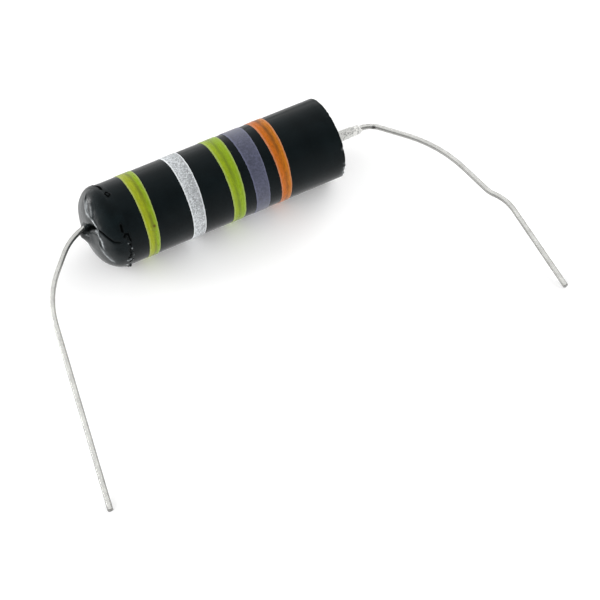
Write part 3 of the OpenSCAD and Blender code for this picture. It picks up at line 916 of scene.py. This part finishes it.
class CAPACITOR_OT_eyelet(bpy.types.Operator):
    """Builds the eyelet with its skin of solder, which runs up the wire"""

    bl_idname = "capacitor.build_eyelet"
    bl_label = "Build Eyelet"

    def execute(self, context):
        wires = context.scene.capacitor_wires
        wire_r = wires.radius / MM
        base, back = -EYELET_LEN, -EYELET_LEN - DISC_T
        on_wire = ((0.95, -0.03), (0.9, 0.01), (0.7, 0.02), (0.5, 0.04), (0.35, 0.05), (0.22, 0.07))
        profile = [(x, wire_r + over) for x, over in on_wire] + [(0.15, 0.43), (0.08, 0.52), (0.0, 0.56)]
        profile += [(x, 0.58 + 0.11 * x / base) for x in spread(-0.12, base + 0.12, 0.12)]
        profile += [(base + 0.05, 0.72), (base - 0.02, 0.76), (base - 0.06, 0.69), (back, 0.68)]
        profile += [(back, FLANGE_R), (back - FLANGE_T, FLANGE_R), (back - FLANGE_T, EYELET_BORE_R),
                    (-SOLDER_DEPTH, EYELET_BORE_R), (-SOLDER_DEPTH, wire_r - 0.03)]
        bm = spun(profile, 64, closed=True)
        for v in bm.verts:
            if v.co.x > base and math.hypot(v.co.y, v.co.z) > 0.5 or 0 < v.co.x < 0.9:
                n = outward(v.co)
                q = Vector((v.co.x * 1.1, n.y * 1.1, n.z * 1.1))
                v.co += n * (noise.noise(q * 1.3) * 0.05 + noise.noise(q * 3.1) * 0.03)
                v.co.x += noise.noise(q * 2 + Vector((9, 0, 0))) * 0.04
                # The upper back corner of the tip has slumped
                slump = smoothstep(-0.9, -0.1, v.co.x) * smoothstep(0.9, 0.3, v.co.x) * max(0.0, -n.z)
                v.co -= n * 0.16 * slump
        bmesh.ops.transform(bm, matrix=into_eyelet_plane(), verts=bm.verts)
        solder = soldered_tin("soldered_tin", tuple(wires.tin))
        make_piece(bm, "soldered_eyelet", solder, "tinned_brass", "eyelet", "eyelet_solder")
        return {"FINISHED"}


class WirePath:
    """A ring of edges that is pulled along straights and round bends to leave a tube behind it."""

    def __init__(self, bm, edges, at, heading):
        self.bm, self.edges, self.at, self.heading = bm, list(edges), Vector(at), Vector(heading)

    def pull(self, length):
        """Pulls the ring ahead, and gives back its corners."""
        made = bmesh.ops.extrude_edge_only(self.bm, edges=self.edges)["geom"]
        verts = [g for g in made if isinstance(g, bmesh.types.BMVert)]
        bmesh.ops.translate(self.bm, vec=self.heading * length, verts=verts)
        self.edges = [g for g in made
                      if isinstance(g, bmesh.types.BMEdge) and all(v in verts for v in g.verts)]
        return verts

    def straight(self, length, step=0.5):
        """Pulls the ring along a length, in even steps."""
        n = max(1, round(length / step))
        for _ in range(n):
            self.pull(length / n)
        self.at += self.heading * length

    def bend(self, turn, radius, towards):
        """Turns by an angle in degrees towards a unit direction across the heading."""
        centre = self.at + towards * radius
        axis = self.heading.cross(towards)
        angle = math.radians(turn)
        steps = max(4, round(turn / 5))
        made = bmesh.ops.spin(self.bm, geom=self.edges, cent=centre, axis=axis, dvec=(0, 0, 0), angle=angle,
                              steps=steps, use_merge=False, use_duplicate=False)["geom_last"]
        self.edges = [g for g in made if isinstance(g, bmesh.types.BMEdge)]
        turned = Matrix.Rotation(angle, 3, axis)
        self.at = centre + turned @ (self.at - centre)
        self.heading = turned @ self.heading

    def close(self):
        """A cut end: a small rounding and a flat face."""
        for ahead, size in CUT_END:
            verts = self.pull(ahead)
            middle = sum((v.co for v in verts), Vector()) / len(verts)
            for v in verts:
                v.co = middle + (v.co - middle) * size
        bmesh.ops.contextual_create(self.bm, geom=self.edges)


def bent_wire(radius, bends, run, side):
    """A wire in its own plane: out along its bends, and back to the flat pigtail inside."""
    bm = bmesh.new()
    first = ring_of_edges(bm, -run, radius, 28)
    out = WirePath(bm, first, (-run, 0, 0), (1, 0, 0))
    out.straight(run)
    for length, turn, bend_r in bends[:-1]:
        if length:
            out.straight(length)
        across = Vector((0, 0, 1)).cross(out.heading) * math.copysign(1, turn)
        out.bend(abs(turn), bend_r, across)
    out.straight(bends[-1][0] - sum(ahead for ahead, _ in CUT_END))
    out.close()
    back = WirePath(bm, first, (-run, 0, 0), (-1, 0, 0))
    back.bend(90, PIGTAIL_BEND, Vector((0, 0, 1)))
    for k in range(3):
        back.bend(180, 0.95 + 0.4 * k, Vector((0, side if k % 2 == 0 else -side, 0)))
    back.close()
    return bm


class CAPACITOR_OT_wires(bpy.types.Operator):
    """Builds the two bent wires, each with its pigtail inside the tube"""

    bl_idname = "capacitor.build_wires"
    bl_label = "Build Wires"

    def execute(self, context):
        wires = context.scene.capacitor_wires
        radius = wires.radius / MM
        tin = tinned_copper(tuple(wires.tin))
        dome_run = WINDING_ENDS[0] - DOME_WIRE_X - PIGTAIL_BEND - PIGTAIL_LIFT
        eyelet_run = EYELET_TIP_X - WINDING_ENDS[1] - PIGTAIL_BEND - PIGTAIL_LIFT
        for name, node, bends, run, side, plane in (
                ("dome_lead", "dome_wire", DOME_BENDS, dome_run, 1, into_dome_plane()),
                ("eyelet_lead", "eyelet_wire", EYELET_BENDS, eyelet_run, -1, into_eyelet_plane())):
            bm = bent_wire(radius, bends, run, side)
            bmesh.ops.transform(bm, matrix=plane, verts=bm.verts)
            bmesh.ops.recalc_face_normals(bm, faces=bm.faces)
            bm.normal_update()
            for v in bm.verts:
                v.co += v.normal * noise.noise(v.co * 0.8) * 0.008
            obj = make_piece(bm, name, tin, "tinned_copper", node)
            bpy.data.collections[BARE_WIRES].objects.link(obj)
        return {"FINISHED"}


class CAPACITOR_OT_inside(bpy.types.Operator):
    """Gives the pieces inside the tube their finishes"""

    bl_idname = "capacitor.dress_inside"
    bl_label = "Dress Inside"

    def execute(self, context):
        solder = soldered_tin("joint_solder", tuple(context.scene.capacitor_wires.tin))
        finishes = {
            "dam_washer": waxed_card(), "winding": foil_winding(), "winding_wrap": kraft_paper(),
            "dome_solder_cap": solder, "eyelet_solder_cap": solder,
        }
        for name, material in finishes.items():
            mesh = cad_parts[name].data
            mesh.materials.clear()
            mesh.materials.append(material)
        return {"FINISHED"}


# ---------------------------------------------------------------- stage

def paint_ramp(curve, stops):
    """Sets a colour ramp's grey levels at their positions."""
    curve.elements[0].position, curve.elements[1].position = stops[0][0], stops[-1][0]
    for at, _ in stops[1:-1]:
        curve.elements.new(at)
    for element, (_, grey) in zip(curve.elements, stops):
        element.color = (grey, grey, grey, 1)


def matt_white_board(stage):
    """Matt white board, lit from under too, as a light table is; gloss sees it dim towards the front."""
    mat = bpy.data.materials.new("matt_white_board")
    tree = empty_tree(mat)
    matt = add(tree, "BsdfDiffuse", (rgba(stage.floor),))
    bright = add(tree, "AddShader", (matt, add(tree, "Emission", (WHITE, stage.glow))))
    table_lit = add(tree, "AddShader", (matt, add(tree, "Emission", (WHITE, stage.under))))
    spot = add(tree, "SeparateXYZ", (add(tree, "TexCoord").outputs["Object"],)).outputs
    level = add(tree, "ValToRGB", (add(tree, "MapRange", (spot["Y"], -0.06, 0.02, 0, 1)),))
    paint_ramp(level.color_ramp, BOARD_LEVELS)
    # Past the dome it is bright behind and dim before; past the eyelet it is an even grey
    behind = add(tree, "MapRange", (spot["Y"], 0.0, 0.02, 1.0, 1.3))
    before = add(tree, "MapRange", (spot["Y"], -0.012, 0.001, 0.18, 1.0))
    fall = add(tree, "Math", (behind, before), operation="MULTIPLY")
    grey = add(tree, "CombineXYZ", (fall, fall, fall))
    seen_left = lay(tree, level, grey, spot["X"], -0.014, -0.019)
    right = add(tree, "MapRange", (spot["X"], 0.024, 0.03, 0, 1))
    far = add(tree, "MapRange", (spot["Y"], -0.045, -0.03, 0, 1))
    beside = add(tree, "Math", (right, far), operation="MULTIPLY")
    mirrored = add(tree, "Emission", (lay(tree, seen_left, (0.25, 0.25, 0.25, 1), beside), 1.0))
    ray = add(tree, "LightPath").outputs
    lit = add(tree, "MixShader", (ray["Is Camera Ray"], table_lit, bright))
    add(tree, "OutputMaterial", (add(tree, "MixShader", (ray["Is Glossy Ray"], lit, mirrored)),))
    return mat


def build_floor(stage):
    """A flat board that the bands rest on."""
    bm = bmesh.new()
    bmesh.ops.create_grid(bm, x_segments=8, y_segments=8, size=2.0)
    bmesh.ops.translate(bm, vec=(0, 0, -FLOOR_R * MM), verts=bm.verts)
    mesh = bpy.data.meshes.new("floor")
    bm.to_mesh(mesh)
    bm.free()
    mesh.materials.append(matt_white_board(stage))
    floor = bpy.data.objects.new("floor", mesh)
    bpy.context.scene.collection.objects.link(floor)


def build_tent(stage):
    """A cloth tent for a world: bright low down, dim overhead, and plain white to the eye."""
    world = bpy.data.worlds.new("studio")
    tree = empty_tree(world)
    way = add(tree, "TexCoord").outputs["Generated"]
    spot = add(tree, "SeparateXYZ", (way,)).outputs
    height = add(tree, "ValToRGB", (spot["Z"],))
    paint_ramp(height.color_ramp, TENT_LEVELS)
    # A low white backdrop stands behind at the left
    towards = add(tree, "VectorMath", (way, BACKDROP_WAY), operation="DOT_PRODUCT").outputs["Value"]
    leftward = add(tree, "MapRange", (towards, 0.9, 0.97, 0.0, 1.4))
    low = add(tree, "MapRange", (spot["Z"], 0.3, 0.1, 0.0, 1.0))
    backdrop = add(tree, "Math", (leftward, low), operation="MULTIPLY")
    behind = add(tree, "MapRange", (spot["Y"], -0.5, 0.6, 0.2, 1.0))
    sky = add(tree, "Background", (height, add(tree, "Math", (behind, backdrop), operation="ADD")))
    cloth = add(tree, "AddShader", (sky, add(tree, "Background", (WHITE, stage.tent))))
    ray = add(tree, "LightPath").outputs
    light = add(tree, "MixShader", (ray["Is Glossy Ray"], cloth, sky))
    white = add(tree, "Background", (WHITE, 1.0))
    add(tree, "OutputWorld", (add(tree, "MixShader", (ray["Is Camera Ray"], light, white)),))
    bpy.context.scene.world = world


def soft_box(name, where, size, radiance):
    """An area lamp that faces the capacitor, whose face has the given brightness."""
    lamp = bpy.data.lights.new(name, "AREA")
    lamp.shape = "RECTANGLE"
    lamp.size, lamp.size_y = size
    lamp.energy = radiance * size[0] * size[1] * math.pi
    obj = bpy.data.objects.new(name, lamp)
    obj.location = where
    obj.rotation_euler = (-Vector(where)).to_track_quat("-Z", "Y").to_euler()
    bpy.context.scene.collection.objects.link(obj)
    return obj


def set_camera(scene):
    """A long lens, high at the front left."""
    cam = bpy.data.cameras.new("camera")
    cam.lens = 120
    cam.sensor_width = 36
    cam.clip_start = 0.01
    cam.clip_end = 20
    eye = bpy.data.objects.new("camera", cam)
    back = Vector(CAMERA_BACK).normalized()
    right = Vector(CAMERA_RIGHT).normalized()
    turn = Matrix((right, back.cross(right), back)).transposed()
    eye.matrix_world = Matrix.Translation(Vector(CAMERA_AT) * MM) @ turn.to_4x4()
    scene.collection.objects.link(eye)
    scene.camera = eye


class CAPACITOR_OT_stage(bpy.types.Operator):
    """Sets the floor, the soft light and the camera"""

    bl_idname = "capacitor.set_stage"
    bl_label = "Set Stage"

    def execute(self, context):
        stage = context.scene.capacitor_stage
        build_floor(stage)
        build_tent(stage)
        for name, where, size, share, mirrored in LAMPS:
            soft_box(name, where, size, stage.lamp * share).visible_glossy = mirrored
        # A card hung over the bare wires puts a soft line of light along them
        card = soft_box("wire_card", (0, 0.12, 0.6), (1.6, 1.3), stage.card)
        card.light_linking.receiver_collection = bpy.data.collections.new(BARE_WIRES)
        set_camera(context.scene)
        context.scene.view_settings.view_transform = "Standard"
        return {"FINISHED"}


# ---------------------------------------------------------------- add-on

class CAPACITOR_PT_panel(bpy.types.Panel):
    """Lists the capacitor's sizes, colours and build steps"""

    bl_idname = "CAPACITOR_PT_panel"
    bl_label = "Paper Capacitor"
    bl_space_type = "VIEW_3D"
    bl_region_type = "UI"
    bl_category = "Capacitor"

    def draw(self, context):
        for owner in ("capacitor_body", "capacitor_paint", "capacitor_wires", "capacitor_stage"):
            group = getattr(context.scene, owner)
            box = self.layout.box()
            for key in group.__annotations__:
                box.prop(group, key)
        for op in OPERATORS:
            self.layout.operator(op.bl_idname)


GROUPS = {"capacitor_body": CapacitorBody, "capacitor_paint": CapacitorPaint,
          "capacitor_wires": CapacitorWires, "capacitor_stage": CapacitorStage}
OPERATORS = (CAPACITOR_OT_stage, CAPACITOR_OT_case, CAPACITOR_OT_dome, CAPACITOR_OT_bands, CAPACITOR_OT_disc,
             CAPACITOR_OT_eyelet, CAPACITOR_OT_wires, CAPACITOR_OT_inside)


def register():
    for key, group in GROUPS.items():
        bpy.utils.register_class(group)
        setattr(bpy.types.Scene, key, bpy.props.PointerProperty(type=group))
    for cls in OPERATORS + (CAPACITOR_PT_panel,):
        bpy.utils.register_class(cls)


def unregister():
    for cls in reversed(OPERATORS + (CAPACITOR_PT_panel,)):
        bpy.utils.unregister_class(cls)
    for key, group in reversed(GROUPS.items()):
        delattr(bpy.types.Scene, key)
        bpy.utils.unregister_class(group)


def main():
    register()
    for op in OPERATORS:
        group, name = op.bl_idname.split(".")
        getattr(getattr(bpy.ops, group), name)()


if __name__ == "__main__":
    main()
